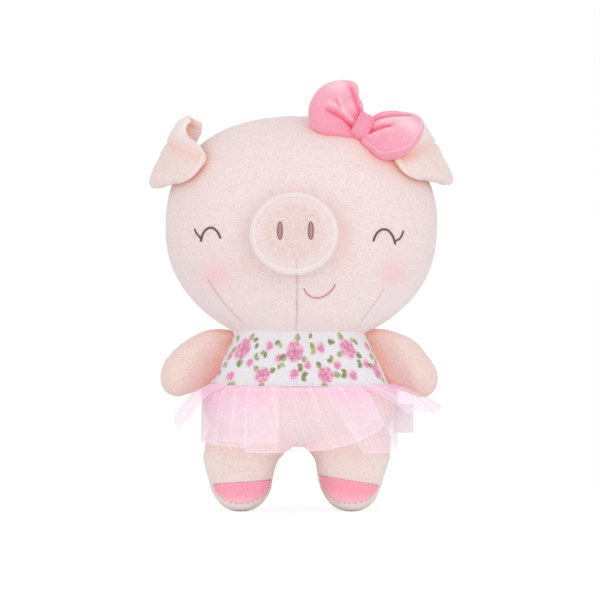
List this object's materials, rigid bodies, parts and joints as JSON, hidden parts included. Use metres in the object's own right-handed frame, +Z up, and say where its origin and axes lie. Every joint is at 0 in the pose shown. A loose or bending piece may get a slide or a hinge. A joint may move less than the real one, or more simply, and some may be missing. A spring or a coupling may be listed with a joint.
{
  "type": "plush pig",
  "caption": "Stuffed pig that stands on its feet, with a round head, folded ears, side bow, printed bodice and a gathered tulle skirt.",
  "frame": {"origin": "middle of the bounding box's bottom face, on the floor under the feet", "axes": "+Z up, -Y the way the face looks, +X the pig's left-hand side, which is at the right in the front view"},
  "size_m": [0.1814, 0.1317, 0.2576],
  "materials": {
    "skin": "short pile velour, pale peach pink",
    "fibre": "loose white polyester fibre",
    "thread": "satin stitch, dark plum",
    "mauve": "satin stitch, dusky mauve",
    "rose": "satin stitch, rose pink",
    "bow_pink": "short pile velour, candy pink",
    "cotton": "ribbed cotton jersey printed with small roses",
    "tulle": "sheer tulle, pale pink",
    "ribbon": "woven satin ribbon, bare"
  },
  "bodies": {
    "body": {"bodice_cover": "cotton", "seat_cover": "skin", "body_stuffing": "fibre", "skirt_under": "tulle", "skirt_over": "tulle", "tail": "skin", "side_label": "ribbon"},
    "head": {"head_cover": "skin", "head_stuffing": "fibre", "snout_cover": "skin", "snout_stuffing": "fibre", "eye_right": "thread", "eye_left": "thread", "nostril_right": "mauve", "nostril_left": "mauve", "mouth": "rose", "bow_knot": "bow_pink", "bow_loop_right": "bow_pink", "bow_loop_left": "bow_pink"},
    "right_ear": {"ear_right": "skin"},
    "left_ear": {"ear_left": "skin"},
    "right_arm": {"arm_right_cover": "skin", "arm_right_stuffing": "fibre"},
    "left_arm": {"arm_left_cover": "skin", "arm_left_stuffing": "fibre"},
    "right_leg": {"leg_right_cover": "skin", "leg_right_stuffing": "fibre", "hoof_right": "bow_pink"},
    "left_leg": {"leg_left_cover": "skin", "leg_left_stuffing": "fibre", "hoof_left": "bow_pink"}
  },
  "joints": [
    {"name": "head_nod", "type": "hinge", "parent": "body", "child": "head", "pos_m": [0, 0.0075, 0.145], "axis": [1, 0, 0], "range_deg": [-8, 8], "stiffness_Nm_per_rad": 0.5},
    {"name": "ear_right_lift", "type": "hinge", "parent": "head", "child": "right_ear", "pos_m": [0.05942, 0.0065, 0.22701], "axis": [-0.5787, 0, 0.8155], "range_deg": [0, 8], "stiffness_Nm_per_rad": 0.02},
    {"name": "ear_left_lift", "type": "hinge", "parent": "head", "child": "left_ear", "pos_m": [-0.05942, 0.0065, 0.22701], "axis": [-0.5787, 0, -0.8155], "range_deg": [0, 25], "stiffness_Nm_per_rad": 0.02},
    {"name": "arm_right_swing", "type": "hinge", "parent": "body", "child": "right_arm", "pos_m": [0.05612, 0.0075, 0.0782], "axis": [-0.4244, 0, 0.9055], "range_deg": [-35, 35], "stiffness_Nm_per_rad": 0.05, "deforming": ["skirt_under", "skirt_over"]},
    {"name": "arm_left_swing", "type": "hinge", "parent": "body", "child": "left_arm", "pos_m": [-0.05612, 0.0075, 0.0782], "axis": [0.4244, 0, 0.9055], "range_deg": [-35, 35], "stiffness_Nm_per_rad": 0.05, "deforming": ["skirt_under", "skirt_over"]},
    {"name": "leg_right_flex", "type": "hinge", "parent": "body", "child": "right_leg", "pos_m": [0.033, 0.0075, 0.0715], "axis": [1, 0, 0], "range_deg": [-20, 25], "stiffness_Nm_per_rad": 1, "deforming": ["skirt_under", "skirt_over"]},
    {"name": "leg_left_flex", "type": "hinge", "parent": "body", "child": "left_leg", "pos_m": [-0.033, 0.0075, 0.0715], "axis": [1, 0, 0], "range_deg": [-20, 25], "stiffness_Nm_per_rad": 1, "deforming": ["skirt_under", "skirt_over"]}
  ]
}
